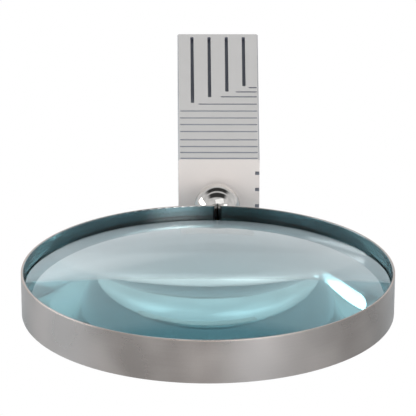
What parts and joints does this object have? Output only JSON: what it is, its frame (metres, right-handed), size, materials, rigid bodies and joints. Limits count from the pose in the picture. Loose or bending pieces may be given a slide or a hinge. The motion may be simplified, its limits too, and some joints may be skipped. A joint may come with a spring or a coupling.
{
  "type": "magnifying glass",
  "caption": "Hand-held magnifying glass: thick biconvex lens in a split metal band, polished ball nut, square tapered handle engraved with mitred grooves.",
  "frame": {"origin": "middle of the base of the whole object's box, level with the lowest edge of the handle's underside", "axes": "+Z along the lens axis, towards the more domed face; +Y from the lens to the handle's far end; +X to the right seen from the lens end"},
  "size_m": [0.0924, 0.2344, 0.0256],
  "materials": {
    "optical_glass": "polished, faintly teal",
    "satin_steel": "satin, brushed around the band",
    "plated_lug": "plated",
    "polished_chrome": "mirror polish",
    "insert_brass": "machined",
    "satin_aluminium": "satin, grooves darkened"
  },
  "bodies": {
    "head": {"lens": "optical_glass", "rim_band": "satin_steel", "left_lug": "plated_lug", "right_lug": "plated_lug", "ball_nut": "polished_chrome"},
    "collar": {"spacer_collar": "plated_lug"},
    "handle": {"handle_insert": "insert_brass", "handle_bar": "satin_aluminium"}
  },
  "joints": [
    {"name": "handle_turn", "type": "hinge", "parent": "head", "child": "collar", "pos_m": [0.0025, -0.0038, 0.0128], "axis": [0, 1, 0], "range_deg": [0, 3960]},
    {"name": "handle_travel", "type": "slide", "parent": "collar", "child": "handle", "axis": [0, 1, 0], "range_m": [0, 0.0089]}
  ],
  "couplings": [
    {"joint": "handle_travel", "follows": "handle_turn", "m_per_rad": 0.00012732}
  ]
}
